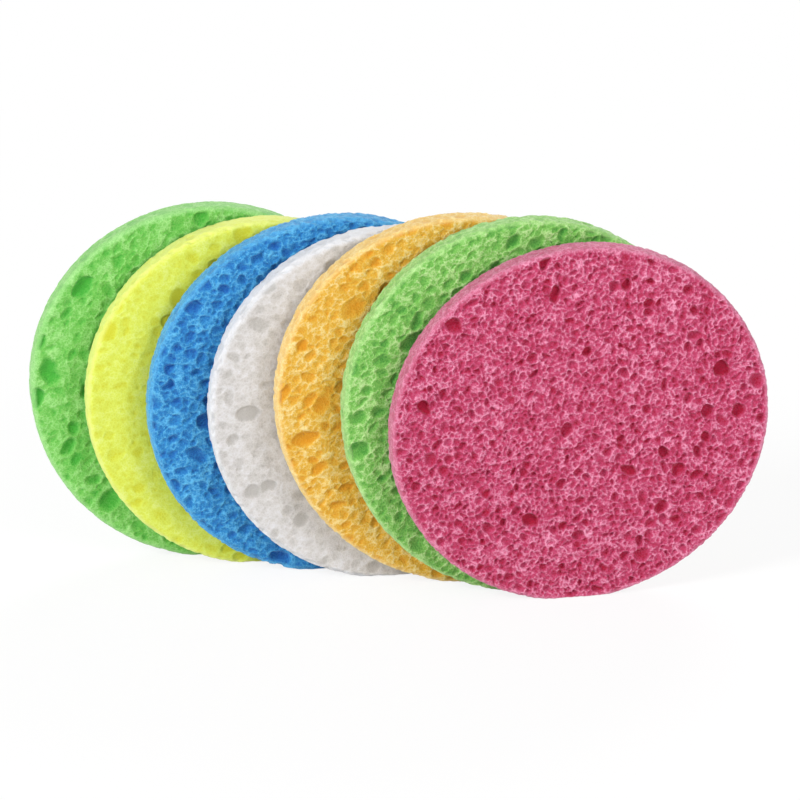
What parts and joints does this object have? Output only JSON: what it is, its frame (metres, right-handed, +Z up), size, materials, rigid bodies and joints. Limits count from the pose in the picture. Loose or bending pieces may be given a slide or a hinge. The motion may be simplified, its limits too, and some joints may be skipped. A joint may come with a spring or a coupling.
{
  "type": "cellulose facial sponge set",
  "caption": "Loose round cellulose facial sponges in several colours, standing on edge face to face in a stepped row; each lifts out by itself.",
  "frame": {"origin": "on the ground plane, under the middle of the standing row's bounding box", "axes": "+Z up; +X along the row's long way, from the rear green sponge's side to the pink sponge's side; +Y from the front face of the pink sponge towards the rear green sponge, square to every sponge's faces"},
  "size_m": [0.1534, 0.0472, 0.0825],
  "materials": {
    "rear_green_sponge": "matte open-cell cellulose foam",
    "yellow_sponge": "matte open-cell cellulose foam",
    "blue_sponge": "matte open-cell cellulose foam",
    "white_sponge": "matte open-cell cellulose foam",
    "orange_sponge": "matte open-cell cellulose foam",
    "front_green_sponge": "matte open-cell cellulose foam",
    "pink_sponge": "matte open-cell cellulose foam"
  },
  "bodies": {
    "rear_green_sponge": {"rear_green_sponge": "rear_green_sponge"},
    "yellow_sponge": {"yellow_sponge": "yellow_sponge"},
    "blue_sponge": {"blue_sponge": "blue_sponge"},
    "white_sponge": {"white_sponge": "white_sponge"},
    "orange_sponge": {"orange_sponge": "orange_sponge"},
    "front_green_sponge": {"front_green_sponge": "front_green_sponge"},
    "pink_sponge": {"pink_sponge": "pink_sponge"}
  },
  "joints": [
    {"name": "yellow_lift", "type": "slide", "parent": "rear_green_sponge", "child": "yellow_sponge", "axis": [0, 0, 1], "range_m": [0, 0.09]},
    {"name": "blue_lift", "type": "slide", "parent": "rear_green_sponge", "child": "blue_sponge", "axis": [0, 0, 1], "range_m": [0, 0.09]},
    {"name": "white_lift", "type": "slide", "parent": "rear_green_sponge", "child": "white_sponge", "axis": [0, 0, 1], "range_m": [0, 0.09]},
    {"name": "orange_lift", "type": "slide", "parent": "rear_green_sponge", "child": "orange_sponge", "axis": [0, 0, 1], "range_m": [0, 0.09]},
    {"name": "front_green_lift", "type": "slide", "parent": "rear_green_sponge", "child": "front_green_sponge", "axis": [0, 0, 1], "range_m": [0, 0.09]},
    {"name": "pink_lift", "type": "slide", "parent": "rear_green_sponge", "child": "pink_sponge", "axis": [0, 0, 1], "range_m": [0, 0.09]}
  ]
}
